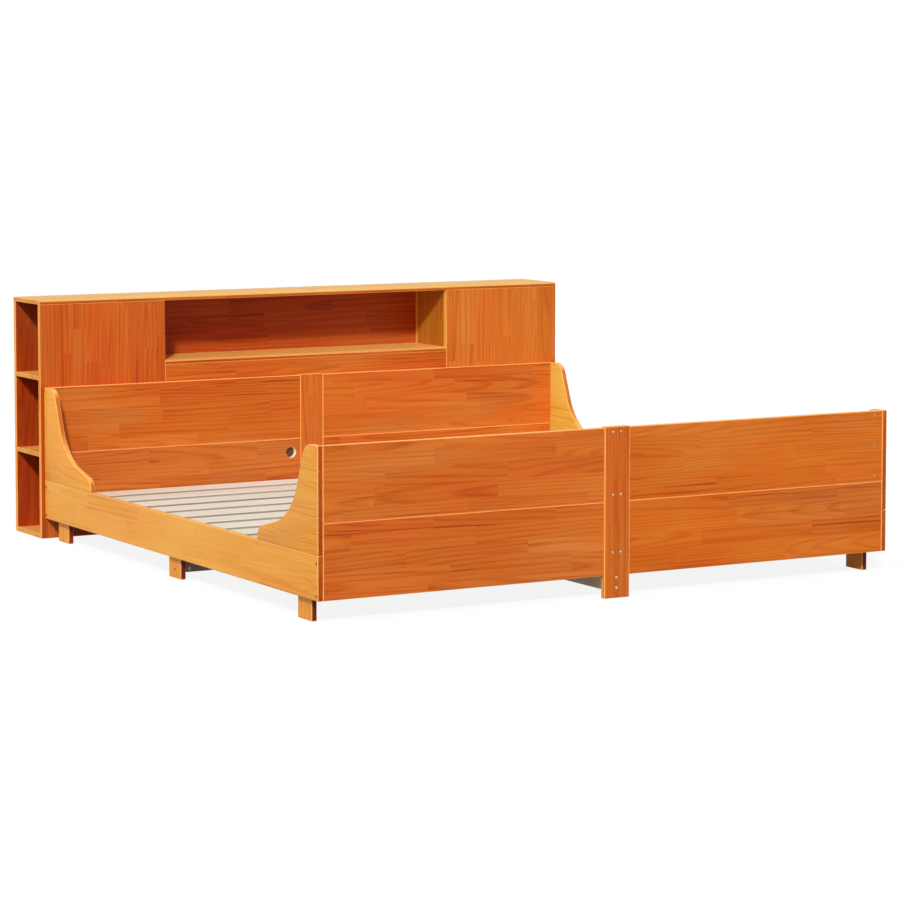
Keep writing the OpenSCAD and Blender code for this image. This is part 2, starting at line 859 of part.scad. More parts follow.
case_front(1);  // case_front_right
case_back(-1);  // case_back_left
case_back(1);  // case_back_right
case_divider(-1);  // case_divider_left
case_divider(1);  // case_divider_right
case_shelf(-1, low_shelf_z);  // case_shelf_lower_left
case_shelf(1, low_shelf_z);  // case_shelf_lower_right
case_shelf(-1, high_shelf_z);  // case_shelf_upper_left
case_shelf(1, high_shelf_z);  // case_shelf_upper_right
frame_bolts();
barrel_nuts();
post_pins();
screws();
dowels();
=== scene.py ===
import bpy
import math
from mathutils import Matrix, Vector


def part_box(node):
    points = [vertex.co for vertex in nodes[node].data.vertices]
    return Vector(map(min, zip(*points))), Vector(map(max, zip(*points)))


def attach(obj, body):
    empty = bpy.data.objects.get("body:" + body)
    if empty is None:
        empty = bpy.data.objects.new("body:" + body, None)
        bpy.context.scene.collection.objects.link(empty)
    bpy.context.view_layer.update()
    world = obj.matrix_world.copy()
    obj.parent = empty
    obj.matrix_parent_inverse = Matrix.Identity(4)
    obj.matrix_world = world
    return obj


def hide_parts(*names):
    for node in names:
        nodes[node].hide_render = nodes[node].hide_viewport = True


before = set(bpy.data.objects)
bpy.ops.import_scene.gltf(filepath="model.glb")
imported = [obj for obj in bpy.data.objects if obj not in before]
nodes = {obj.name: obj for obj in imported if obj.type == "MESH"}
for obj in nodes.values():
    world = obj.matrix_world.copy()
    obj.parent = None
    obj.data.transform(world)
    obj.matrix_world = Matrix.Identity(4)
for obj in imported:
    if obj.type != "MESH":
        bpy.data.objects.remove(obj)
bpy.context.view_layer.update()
print("frame loaded:", len(nodes), "nodes")


# Camera, at the photo's viewing angle

cameraValues = {
    "place": (-5.2195, -9.2706, 1.5664),
    "yaw": 0.5181,      # radians, to the right of straight ahead
    "pitch": -0.0808,   # radians, below 0 looks down
    "lens": 127.34,
    "sensor": 36.0,
    "shiftDown": 0.12,  # share of the picture's width
    "farthest": 100.0,
}


def placeCamera(values):
    data = bpy.data.cameras.new("bedCamera")
    data.lens = values["lens"]
    data.sensor_width = values["sensor"]
    data.shift_y = -values["shiftDown"]
    data.clip_end = values["farthest"]
    camera = bpy.data.objects.new("bedCamera", data)
    bpy.context.scene.collection.objects.link(camera)
    camera.location = values["place"]
    camera.rotation_euler = (math.pi / 2 + values["pitch"], 0.0, -values["yaw"])
    bpy.context.scene.camera = camera


placeCamera(cameraValues)
print("camera placed")


# Shader nodes, a few short forms

def srgb(r, g, b):
    def linear(c):
        c = c / 255.0
        return c / 12.92 if c <= 0.04045 else ((c + 0.055) / 1.055) ** 2.4
    return (linear(r), linear(g), linear(b), 1.0)


class Finish:
    def __init__(self, name):
        self.material = bpy.data.materials.new(name)
        self.material.use_nodes = True
        self.tree = self.material.node_tree
        self.tree.nodes.clear()
        self.output = self.add("ShaderNodeOutputMaterial")

    def add(self, kind, **settings):
        node = self.tree.nodes.new(kind)
        for key, value in settings.items():
            setattr(node, key, value)
        return node

    def plug(self, source, socket):
        if isinstance(source, (int, float, tuple)):
            socket.default_value = source
        else:
            self.tree.links.new(source, socket)

    def split(self, vector):
        node = self.add("ShaderNodeSeparateXYZ")
        self.plug(vector, node.inputs[0])
        return [node.outputs[i] for i in range(3)]

    def join(self, x, y, z):
        node = self.add("ShaderNodeCombineXYZ")
        for source, socket in zip((x, y, z), node.inputs):
            self.plug(source, socket)
        return node.outputs[0]

    def math(self, operation, *parts, clamp=False):
        node = self.add("ShaderNodeMath", operation=operation, use_clamp=clamp)
        for source, socket in zip(parts, node.inputs):
            self.plug(source, socket)
        return node.outputs[0]

    def plus(self, a, b):
        return self.math("ADD", a, b)

    def minus(self, a, b):
        return self.math("SUBTRACT", a, b)

    def times(self, a, b):
        return self.math("MULTIPLY", a, b)

    def over(self, a, b):
        return self.math("DIVIDE", a, b)

    def reach(self, share, spread, start):  # start + share * spread
        return self.math("MULTIPLY_ADD", share, spread, start)

    def distance(self, a, b):
        return self.math("SQRT", self.plus(self.times(a, a), self.times(b, b)))

    def noise(self, vector, detail=2.0, roughness=0.5):
        node = self.add("ShaderNodeTexNoise", noise_dimensions="3D")
        self.plug(vector, node.inputs["Vector"])
        node.inputs["Scale"].default_value = 1.0
        node.inputs["Detail"].default_value = detail
        node.inputs["Roughness"].default_value = roughness
        return node.outputs["Fac"]

    def chance(self, x, y, z):
        node = self.add("ShaderNodeTexWhiteNoise", noise_dimensions="3D")
        self.plug(self.join(x, y, z), node.inputs["Vector"])
        return self.split(node.outputs["Color"])

    def ramp(self, value, low, high, atLow=0.0, atHigh=1.0, smooth=False):
        node = self.add("ShaderNodeMapRange", clamp=True)
        node.interpolation_type = "SMOOTHSTEP" if smooth else "LINEAR"
        for source, socket in zip((value, low, high, atLow, atHigh), node.inputs):
            self.plug(source, socket)
        return node.outputs["Result"]

    def blend(self, factor, a, b):
        node = self.add("ShaderNodeMix", data_type="RGBA")
        for source, socket in zip((factor, a, b), (node.inputs[0], node.inputs[6], node.inputs[7])):
            self.plug(source, socket)
        return node.outputs[2]

    def bump(self, height, strength, distance):
        node = self.add("ShaderNodeBump")
        node.inputs["Strength"].default_value = strength
        node.inputs["Distance"].default_value = distance
        self.plug(height, node.inputs["Height"])
        return node.outputs["Normal"]

    def surface(self, shader):
        self.plug(shader, self.output.inputs["Surface"])
        return self.material


# Pine, glued up from staves that each have their own growth rings

panelFace = (srgb(166, 62, 8), srgb(203, 99, 27), srgb(222, 124, 46))  # dark streak, middle, light
endGrain = (srgb(150, 60, 4), srgb(190, 88, 14), srgb(214, 116, 36))
curvedEdge = (srgb(176, 80, 20), srgb(208, 112, 42), srgb(228, 142, 66))
rawFace = (srgb(142, 126, 108), srgb(172, 155, 136), srgb(196, 180, 160))
# painted light and shade: side and top tones are lighter, front and rear tones darker, as light falls from
# the left and above
waxedTones = {  # for the faces that look each way
    "front": panelFace,
    "rear": panelFace,
    "side": (srgb(208, 120, 26), srgb(235, 158, 54), srgb(247, 182, 84)),
    "top": (srgb(222, 140, 52), srgb(246, 178, 88), srgb(255, 200, 116)),
    # the arris tone is a painted highlight
    "arris": srgb(252, 170, 94),
}
goldenTones = dict(waxedTones, front=(srgb(166, 61, 4), srgb(203, 96, 18), srgb(222, 121, 36)))
dullTones = dict(waxedTones, front=(srgb(162, 65, 14), srgb(199, 103, 37), srgb(218, 128, 57)))
railTones = dict(waxedTones, front=endGrain, rear=endGrain)
footEarTones = dict(waxedTones, front=endGrain, rear=curvedEdge)
headEarTones = dict(waxedTones, front=curvedEdge, rear=endGrain)
farEarTones = dict(headEarTones,  # the far bracket shows its inner face, in full light
    side=(srgb(197, 128, 31), srgb(222, 169, 64), srgb(233, 195, 99)))
legTones = dict(waxedTones,  # dark in front, in the shade of the panels
    front=(srgb(82, 18, 6), srgb(122, 36, 14), srgb(158, 66, 30)))
shelfTones = dict(waxedTones,  # thin boards of the bookcase; painted shade darkens their front edges
    front=(srgb(140, 56, 6), srgb(176, 78, 14), srgb(204, 106, 34)),
    top=(srgb(208, 132, 48), srgb(234, 166, 76), srgb(246, 186, 98)))
# painted light: the top of the bookcase is yellower and its arris highlight brighter
topTones = dict(shelfTones,
    top=(srgb(208, 136, 41), srgb(234, 171, 65), srgb(246, 191, 84)),
    arris=srgb(255, 193, 108))
# painted light: the shelf top in the niche is brighter
nicheShelfTones = dict(shelfTones,
    top=(srgb(232, 152, 58), srgb(252, 184, 88), srgb(255, 206, 116)))
nicheShadeTones = dict(waxedTones,  # painted shade: darker tones inside the bookcase's niche
    front=(srgb(140, 44, 6), srgb(175, 70, 18), srgb(196, 92, 30)),
    side=(srgb(150, 80, 14), srgb(180, 110, 28), srgb(204, 134, 48)))
bayShadeTones = dict(waxedTones,  # painted shade: darker backs of the compartments that are open at the ends
    front=(srgb(124, 34, 4), srgb(157, 55, 12), srgb(178, 74, 22)))
# painted shade and light on the raw pine: slat edges that look to the front or rear are darker, tops lighter
rawTones = {
    "front": rawFace,
    "rear": rawFace,
    "side": (srgb(206, 188, 160), srgb(230, 215, 192), srgb(242, 231, 212)),
    "top": (srgb(220, 214, 194), srgb(240, 240, 223), srgb(249, 249, 239)),
    "arris": srgb(246, 236, 218),
}
grainAxes = {  # along the grain, across the board, through it
    "xz": (0, 2, 1),
    "yz": (1, 2, 0),
    "zx": (2, 0, 1),
    "zy": (2, 1, 0),
    "xy": (0, 1, 2),
}
pineValues = {  # scales are per metre, along the grain and then across it
    "level": 0.52,                      # of the wood between its darkest and its lightest tone
    "staveWidth": 0.054,
    "staveLength": 0.42,
    "staveTone": 0.18,
    "rowShift": 0.0137,                 # each board's rows begin this much further on
    "slideReach": 5.3,                  # a row slides by up to so many staves
    "slideSeed": 1.7,                   # the seeds here multiply the board's own seed
    "slideLayer": 3.1,                  # any number does
    "toneSeed": 2.3,
    "tiltSeed": 3.9,
    "ringPitch": 0.0085,
    "leastPitch": 0.7,                  # share of ringPitch
    "ringDark": 0.24,
    "lateWood": (0.40, 0.87, 0.88),     # shares of a ring: it begins, is darkest, breaks off
    "heartAside": 0.16,                 # range of the trunk's heart, to the stave's sides
    "heartDepth": (0.012, 0.07),        # least depth of the heart, and its range
    "heartLean": 0.05,
    "waveScale": (2.6, 12.0),           # how the trunk wavers along its length
    "waveOwn": 40.0,
    "waveDepth": 0.011,
    "patternOwn": 60.0,                 # how far apart the staves lie in each pattern
    "streakScale": (3.2, 95.0),
    "streakDark": 0.46,
    "hairScale": (14.0, 420.0),
    "hairDark": 0.22,
    "veinScale": (2.4, 150.0),
    "veinOwn": 1.7,
    "veinEdge": (0.30, 0.42),
    "veinCloud": (0.42, 0.62, 1.0, 0.15),  # full strength in the dark clouds, faint in the light ones
    "veinDark": 0.36,
    "cloudScale": (1.5, 4.0),
    "cloudSeed": 7.7,
    "cloudTone": 0.50,
    "driftScale": (1.9, 7.0),
    "driftOwn": 0.25,
    "driftSeed": 3.3,
    "hueDrift": 0.026,
    "paleDrift": 0.10,
    "redder": 0.0,
    "rearTurn": (0.0, 0.4),             # turns are parts of a face's normal
    "sideTurn": (0.45, 0.85),
    "frontTurn": (0.8, 0.95),
    "endTurn": (0.6, 0.95),
    "endDark": 0.22,
    "curved": False,
    "curveTurn": (0.12, 0.3),
    "arrisTurn": (0.90, 0.985),
    "arrisGaps": (0.25, 0.5, 0.75, 1.0),   # the painted highlight is fainter where the streaks are dark
    "arrisLight": 0.85,
    "jointTurn": (0.15, 0.45),
    "jointAbove": 1.0,                  # share of the painted highlight left on an arris that looks up, beside a joint
    "jointBelow": 1.0,
    "roughness": 0.36,
    "roughSpread": 0.16,
    "gloss": 0.16,
    "ringRelief": 0.5,
    "bump": 0.10,
    "bumpDepth": 0.0006,
}


def glueStaves(wood, board, seed, values):
    # rows of staves across the board, each row cut into lengths, and each stave's own chances
    along, across = board[:2]
    rowPlace = wood.over(wood.plus(across, seed * values["rowShift"]), values["staveWidth"])
    row = wood.math("FLOOR", rowPlace)
    slide = wood.chance(row, seed * values["slideSeed"], values["slideLayer"])[0]
    stavePlace = wood.reach(slide, values["slideReach"], wood.over(along, values["staveLength"]))
    stave = wood.math("FLOOR", stavePlace)
    tone, aside, depth = wood.chance(row, stave, seed * values["toneSeed"])
    tilt, own, pitch = wood.chance(stave, row, seed * values["tiltSeed"])
    return {
        "tone": tone,
        "aside": aside,
        "depth": depth,
        "tilt": tilt,
        "own": own,
        "pitch": pitch,
        "alongStave": wood.minus(wood.math("FRACT", stavePlace), 0.5),
        "acrossRow": wood.minus(wood.math("FRACT", rowPlace), 0.5),
    }


def grainNoise(wood, board, scale, shift, detail=2.0, roughness=0.5):
    along, across, through = board
    lengthwise, crosswise = scale
    return wood.noise(wood.join(wood.times(along, lengthwise), wood.times(across, crosswise),
        wood.reach(through, crosswise, shift)), detail, roughness)


def growRings(wood, board, stave, values):
    # how dark the late wood is, by the distance from the heart of the trunk the stave came from
    along, across, through = board
    wave = grainNoise(wood, (along, across, 0.0), values["waveScale"],
        wood.times(stave["own"], values["waveOwn"]), detail=1.5)
    sideways = wood.minus(wood.times(stave["acrossRow"], values["staveWidth"]),
        wood.times(wood.minus(stave["aside"], 0.5), values["heartAside"]))
    lean = wood.times(stave["alongStave"], wood.times(wood.minus(stave["tilt"], 0.5), values["heartLean"]))
    leastDepth, depthRange = values["heartDepth"]
    deep = wood.plus(wood.plus(through, lean), wood.reach(stave["depth"], depthRange, leastDepth))
    fromHeart = wood.reach(wave, values["waveDepth"], wood.distance(sideways, deep))
    pitch = wood.reach(stave["pitch"], values["ringPitch"], values["ringPitch"] * values["leastPitch"])
    ring = wood.math("FRACT", wood.over(fromHeart, pitch))
    begins, darkest, breaksOff = values["lateWood"]
    return wood.times(wood.ramp(ring, begins, darkest, smooth=True),
        wood.ramp(ring, breaksOff, 1.0, 1.0, 0.0))


def paintFaceLight(wood, light, normal, upright, tones, values):
    # painted light: each face takes the tone set of the way it looks
    shades = {}
    for face in ("front", "rear", "side", "top"):
        dark, middle, pale = tones[face]
        shades[face] = wood.blend(wood.ramp(light, 0.5, 1.0),
            wood.blend(wood.ramp(light, 0.0, 0.5), dark, middle), pale)
    colour = wood.blend(wood.ramp(normal[1], *values["rearTurn"]), shades["front"], shades["rear"])
    colour = wood.blend(wood.ramp(upright[0], *values["sideTurn"]), colour, shades["side"])
    return wood.blend(wood.ramp(normal[2], *values["sideTurn"]), colour, shades["top"])


def driftHue(wood, colour, board, stave, seed, values):
    # slow patches where the wax came out redder, or browner and paler
    along, across = board[:2]
    shift = wood.plus(wood.times(stave["tone"], values["driftOwn"]), seed * values["driftSeed"])
    drift = wood.minus(grainNoise(wood, (along, across, 0.0), values["driftScale"], shift), 0.5)
    tint = wood.add("ShaderNodeHueSaturation")
    hue = wood.reach(drift, values["hueDrift"], 0.5 - values["redder"])  # 0.5 turns no hue
    saturation = wood.reach(wood.math("MAXIMUM", drift, 0.0), -values["paleDrift"], 1.0)
    wood.plug(hue, tint.inputs["Hue"])
    wood.plug(saturation, tint.inputs["Saturation"])
    wood.plug(colour, tint.inputs["Color"])
    return tint.outputs["Color"]


def paintArrisHighlight(wood, colour, normal, upright, streak, pale, values):
    # paler along the arrises: a painted highlight where light catches their rounding, partly also wax rubbed
    # off
    if values["curved"]:  # a curved edge isn't an arris, only its two borders are
        arrisHighlight = wood.times(wood.ramp(upright[0], *values["curveTurn"]),
            wood.ramp(upright[0], *values["arrisTurn"], 1.0, 0.0))
    else:
        squarest = wood.math("MAXIMUM", upright[0], wood.math("MAXIMUM", upright[1], upright[2]))
        arrisHighlight = wood.ramp(squarest, *values["arrisTurn"], 1.0, 0.0)
    slight, full = values["jointTurn"]
    arrisHighlight = wood.times(arrisHighlight, wood.ramp(normal[2], slight, full, 1.0, values["jointAbove"]))
    arrisHighlight = wood.times(arrisHighlight, wood.ramp(normal[2], -full, -slight, values["jointBelow"], 1.0))
    arrisHighlight = wood.times(arrisHighlight, wood.ramp(streak, *values["arrisGaps"]))
    return wood.blend(wood.times(arrisHighlight, values["arrisLight"]), colour, pale)


def toneBoreAndHoleShadow(wood, colour, spot, hole):
    # inside the radius of the cable hole the wood has another tone: bare wood in the head board's bore,
    # painted shadow on the apron behind it
    fromAxis = wood.distance(wood.minus(spot[0], hole["x"]), wood.minus(spot[2], hole["z"]))
    inside = wood.ramp(fromAxis, hole["radius"], hole["radius"] + hole["rim"], 1.0, 0.0)
    return wood.blend(inside, colour, hole["tone"])


def lightEdge(wood, colour, spot, normal, pale, edge, values):
    # painted highlight: the front edge of a board is pale above this height, where its rounding faces up
    least, full = values["frontTurn"]
    lit = wood.times(wood.ramp(spot[2], edge["above"] - edge["soft"], edge["above"] + edge["soft"]),
        wood.ramp(normal[1], -full, -least, 1.0, 0.0))
    return wood.blend(wood.times(lit, values["arrisLight"]), colour, pale)


def shadeOutside(wood, colour, spot, upright, dark, shade, values):
    # painted shade: darker beside and below the tops of the side brackets, where they shade the bookcase
    # front
    beside = wood.times(wood.ramp(wood.math("ABSOLUTE", spot[0]), *shade["aside"], 0.0, shade["strength"]),
        wood.ramp(spot[2], *shade["top"], 1.0, 0.0))
    beside = wood.times(beside, wood.ramp(upright[1], *values["frontTurn"]))
    return wood.blend(beside, colour, dark)


def makePine(name, grain, seed, middle, tones, changes):
    values = dict(pineValues, **changes)
    wood = Finish(name)
    place = wood.add("ShaderNodeTexCoord")
    spot = wood.split(place.outputs["Object"])
    normal = wood.split(place.outputs["Normal"])
    upright = [wood.math("ABSOLUTE", part) for part in normal]
    lengthAxis, widthAxis, depthAxis = grainAxes[grain]
    board = (spot[lengthAxis], spot[widthAxis], wood.minus(spot[depthAxis], middle[depthAxis]))
    stave = glueStaves(wood, board, seed, values)
    late = growRings(wood, board, stave, values)

    # long streaks, hair-fine grain, dark veins, and slow clouds of stain
    own = wood.times(stave["own"], values["patternOwn"])
    streak = grainNoise(wood, board, values["streakScale"], own, detail=2.5, roughness=0.6)
    hair = grainNoise(wood, board, values["hairScale"], own)
    cloud = grainNoise(wood, board, values["cloudScale"], seed * values["cloudSeed"], detail=1.0)
    vein = grainNoise(wood, board, values["veinScale"], wood.times(own, values["veinOwn"]), detail=1.0)
    vein = wood.times(wood.ramp(vein, *values["veinEdge"], 1.0, 0.0, smooth=True),
        wood.ramp(cloud, *values["veinCloud"]))

    light = values["level"]
    for pattern, usual, strength in (
            (stave["tone"], 0.5, values["staveTone"]),
            (late, 0.35, -values["ringDark"]),
            (vein, 0.15, -values["veinDark"]),
            (streak, 0.5, values["streakDark"]),
            (hair, 0.5, values["hairDark"]),
            (cloud, 0.5, values["cloudTone"])):
        light = wood.reach(wood.minus(pattern, usual), strength, light)
    onEnd = wood.ramp(upright[lengthAxis], *values["endTurn"])
    light = wood.math("SUBTRACT", light, wood.times(onEnd, values["endDark"]), clamp=True)

    colour = paintFaceLight(wood, light, normal, upright, tones, values)
    colour = driftHue(wood, colour, board, stave, seed, values)
    colour = paintArrisHighlight(wood, colour, normal, upright, streak, tones["arris"], values)
    if "hole" in values:
        colour = toneBoreAndHoleShadow(wood, colour, spot, values["hole"])
    if "litEdge" in values:
        colour = lightEdge(wood, colour, spot, normal, tones["arris"], values["litEdge"], values)
    if "outerShade" in values:
        colour = shadeOutside(wood, colour, spot, upright, tones["front"][0], values["outerShade"], values)

    pine = wood.add("ShaderNodeBsdfPrincipled")
    wood.plug(colour, pine.inputs["Base Color"])
    wood.plug(wood.reach(hair, values["roughSpread"], values["roughness"]), pine.inputs["Roughness"])
    pine.inputs["Specular IOR Level"].default_value = values["gloss"]
    relief = wood.reach(late, values["ringRelief"], hair)
    wood.plug(wood.bump(relief, values["bump"], values["bumpDepth"]), pine.inputs["Normal"])
    return wood.surface(pine.outputs[0])


# Steel of the fasteners: yellow zinc, browned heads on the sides, and caps in the wood's colour

steelValues = {
    "zinc": (srgb(150, 112, 82), srgb(206, 176, 146)),
    "brown": (srgb(140, 84, 40), srgb(184, 120, 64)),
    "sideCap": (srgb(222, 144, 52), srgb(238, 166, 74)),
    "frontCap": (srgb(190, 88, 22), srgb(208, 104, 34)),
    "middleHalf": 0.1,      # nearer the middle of the bed than this, browned steel is plain zinc
    "patchScale": 700.0,
    "roughness": 0.28,
    "roughSpread": 0.25,
    "bump": 0.1,
    "bumpDepth": 0.0002,
}
steelParts = {  # plain finish, and the axis and the place from which a cap covers it
    "barrel_nuts": ("zinc", None),
    "screws": ("brown", None),
    "frame_bolts": ("brown", (2, 0.25, "sideCap")),
    "post_pins": ("zinc", (1, 0.0, "frontCap")),
}


def makeSteel(name, plain, capped, values):
    steel = Finish(name)
    spot = steel.split(steel.add("ShaderNodeTexCoord").outputs["Object"])
    patches = steel.noise(steel.join(*[steel.times(part, values["patchScale"]) for part in spot]))
    colour = steel.blend(patches, *values[plain])
    if plain == "brown":
        inMiddle = steel.math("LESS_THAN", steel.math("ABSOLUTE", spot[0]), values["middleHalf"])
        colour = steel.blend(inMiddle, colour, steel.blend(patches, *values["zinc"]))
    metal = 1.0
    if capped:
        axis, limit, cap = capped
        covered = steel.math("GREATER_THAN", spot[axis], limit)
        colour = steel.blend(covered, colour, steel.blend(patches, *values[cap]))
        metal = steel.minus(1.0, covered)
    head = steel.add("ShaderNodeBsdfPrincipled")
    steel.plug(metal, head.inputs["Metallic"])
    steel.plug(colour, head.inputs["Base Color"])
    steel.plug(steel.reach(patches, values["roughSpread"], values["roughness"]), head.inputs["Roughness"])
    steel.plug(steel.bump(patches, values["bump"], values["bumpDepth"]), head.inputs["Normal"])
    return steel.surface(head.outputs[0])


# Boards: first word of the finish, boards by their grain, tones, first seed, changes to pineValues

holeValues = {"x": -0.084, "z": 0.248, "radius": 0.0191, "rim": 0.0006, "tone": rawTones["top"][1]}
holeShadow = dict(holeValues, radius=0.030, tone=srgb(112, 66, 28))  # painted shadow on the apron, seen through the hole
outerShade = {"strength": 0.8, "aside": (1.012, 1.024), "top": (0.52, 0.54)}
topEdge = {"above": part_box("case_top")[0][2] + 0.0095, "soft": 0.001}
nicheShelfEdge = {"above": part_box("case_shelf_centre")[0][2] + 0.0088, "soft": 0.001}
quietGrain = {"ringDark": 0.16, "veinDark": 0.24}
bracketGrain = {"jointBelow": 0.15, "curved": True, **quietGrain}
rawGrain = {"staveWidth": 0.14, "staveLength": 2.4, "ringPitch": 0.007, "staveTone": 0.20, "endDark": 0.10}
rawBoards = {
    "xy": [name for name in sorted(nodes) if name.startswith("slat_") and "ledger" not in name],
    "yz": ["centre_beam", "slat_ledger_left", "slat_ledger_right"],
    "xz": ["mid_cross_bar", "dowels"],
    "zy": ["centre_leg"],
}
boardFinishes = [
    ("foot", {"xz": ["foot_board_lower_left"]}, waxedTones, 1, {}),
    ("foot", {"xz": ["foot_board_lower_right"]}, goldenTones, 2, {}),
    ("foot", {"xz": ["foot_board_upper_left"]}, waxedTones, 3, {}),
    ("foot", {"xz": ["foot_board_upper_right"]}, goldenTones, 4, {}),
    ("foot", {"zx": ["foot_post"]}, waxedTones, 5, {}),
    ("head", {"xz": ["head_board_lower_right", "head_board_upper_left", "head_board_upper_right"]},
        waxedTones, 6, {"level": 0.43}),
    ("head", {"zx": ["head_post"]}, waxedTones, 9, {"level": 0.43}),
    ("head", {"xz": ["head_board_lower_left"]}, dullTones, 10, {"level": 0.43, "hole": holeValues}),
    ("case", {"xz": ["case_apron"]}, waxedTones, 11, {"level": 0.43, "jointAbove": 0.3, "hole": holeShadow}),
    ("case", {"zx": ["case_front_left"]}, waxedTones, 12, {"level": 0.42, "redder": 0.004,
        "staveTone": 0.10, "ringDark": 0.18, "jointAbove": 0.1, "outerShade": outerShade}),
    ("case", {"zx": ["case_front_right"]}, waxedTones, 13,
        {"level": 0.58, "redder": -0.002, "jointAbove": 0.1, "outerShade": outerShade}),
    ("rail", {"yz": ["side_rail_left", "side_rail_right"]},
        railTones, 17, {"jointAbove": 0.25, **quietGrain}),
    ("bracket", {"yz": ["ear_foot_left", "ear_foot_right"]}, footEarTones, 21, bracketGrain),
    ("bracket", {"yz": ["ear_head_left"]}, headEarTones, 23, bracketGrain),
    ("bracket", {"yz": ["ear_head_right"]}, farEarTones, 24, bracketGrain),
    # painted shade: the foot and middle legs take a darker level, for the shade under the bed
    ("leg", {"zy": ["leg_foot_left", "leg_mid_left", "leg_foot_right", "leg_mid_right"]},
        legTones, 27, {"level": 0.30}),
    ("leg", {"zy": ["leg_head_left", "leg_head_right"]}, legTones, 31, {"level": 0.58}),
    ("case", {"xy": ["case_top"]}, topTones, 33, {"litEdge": topEdge}),
    ("shelf", {"xy": ["case_bottom", "case_shelf_lower_left", "case_shelf_lower_right",
        "case_shelf_upper_left", "case_shelf_upper_right"]}, shelfTones, 34, {}),
    ("shelf", {"xy": ["case_shelf_centre"]}, nicheShelfTones, 40,
        {"arrisLight": 0.74, "litEdge": nicheShelfEdge}),
    ("niche", {"xz": ["case_back_centre"], "zy": ["case_divider_left", "case_divider_right"]},
        nicheShadeTones, 41, {}),
    ("bay", {"zx": ["case_back_left", "case_back_right"]}, bayShadeTones, 51, {}),
    ("raw", rawBoards, rawTones, 61, rawGrain),
]


def dress(name, material):
    slots = nodes[name].data.materials
    slots.clear()
    slots.append(material)


def dressBoards(prefix, boards, tones, firstSeed, changes):
    seed = firstSeed
    for grain, names in boards.items():
        for name in names:
            low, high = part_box(name)
            middle = [(a + b) / 2 for a, b in zip(low, high)]
            finish = prefix + name.title().replace("_", "")
            dress(name, makePine(finish, grain, seed, middle, tones, changes))
            seed += 1


for boardFinish in boardFinishes:
    dressBoards(*boardFinish)
for name, (plain, capped) in steelParts.items():
    dress(name, makeSteel(name.title().replace("_", "") + "Steel", plain, capped, steelValues))
print("finishes set on", len(nodes), "nodes")


# Side brackets, shaped like the four ear_ nodes but with all their arrises rounded

bracketValues = {
    "length": 0.398,
    "height": 0.321,
    "thickness": 0.018,
    "crownWidth": 0.084,
    "toeHeight": 0.039,
    "steepLean": 21.0,      # degrees from upright
    "shallowRise": 13.6,    # degrees from level
    "crownRound": 0.050,
    "crownSteps": 24,
    "hollowRound": 0.210,
    "hollowSteps": 32,
    "toeRound": 0.042,
    "toeSteps": 24,
    "arris": 0.003,
    "arrisSteps": 3,
    "sharpFrom": 40.0,      # degrees, so that the steps of the curves get no arris of their own
    "smoothTo": 35.0,
    "boltsUp": (0.114, 0.2105, 0.307),
    "boltsIn": 0.009,
    "headRadius": 0.0053,
    "headDepth": 0.0065,
    "shankRadius": 0.0033,
    "shankDepth": 0.030,
    "drillSides": 32,
    "drillOutside": 0.002,
}


def roundCorner(corner, before, after, radius, steps):
    toBefore, toAfter = (before - corner).normalized(), (after - corner).normalized()
    half = toBefore.angle(toAfter) / 2
    centre = corner + (toBefore + toAfter).normalized() * radius / math.sin(half)
    start = corner + toBefore * radius / math.tan(half) - centre
    end = corner + toAfter * radius / math.tan(half) - centre
    first = math.atan2(start.y, start.x)
    sweep = (math.atan2(end.y, end.x) - first + math.pi) % (2 * math.pi) - math.pi
    turns = [first + sweep * i / steps for i in range(steps + 1)]
    return [centre + radius * Vector((math.cos(turn), math.sin(turn))) for turn in turns]


def bracketOutline(values):
    # x runs along the rail from the panel, y upwards from the rail
    length, height = values["length"], values["height"]
    steep = math.tan(math.radians(values["steepLean"]))
    shallow = math.tan(math.radians(values["shallowRise"]))
    run = length - values["crownWidth"] - height * steep
    valleyUp = (values["toeHeight"] + run * shallow) / (1 - steep * shallow)
    crown = Vector((values["crownWidth"], height))
    valley = Vector((values["crownWidth"] + (height - valleyUp) * steep, valleyUp))
    toe = Vector((length, values["toeHeight"]))
    outline = [Vector((0, 0)), Vector((0, height))]
    outline += roundCorner(crown, outline[1], valley, values["crownRound"], values["crownSteps"])
    outline += roundCorner(valley, crown, toe, values["hollowRound"], values["hollowSteps"])
    outline += roundCorner(toe, valley, Vector((length, 0)), values["toeRound"], values["toeSteps"])
    return outline + [Vector((length, 0))]


def selectOnly(piece):
    bpy.ops.object.select_all(action="DESELECT")
    piece.select_set(True)
    bpy.context.view_layer.objects.active = piece


def drillBracket(bracket, values, mouth, radius, depth):
    outside = values["drillOutside"]
    bpy.ops.mesh.primitive_cylinder_add(vertices=values["drillSides"], radius=radius, depth=depth + outside,
        location=(mouth[0] + (depth - outside) / 2, mouth[1], mouth[2]), rotation=(0.0, math.pi / 2, 0.0))
    drill = bpy.context.object
    selectOnly(bracket)
    hole = bracket.modifiers.new("hole", "BOOLEAN")
    hole.operation = "DIFFERENCE"
    hole.object = drill
    bpy.ops.object.modifier_apply(modifier=hole.name)
    bpy.data.objects.remove(drill)


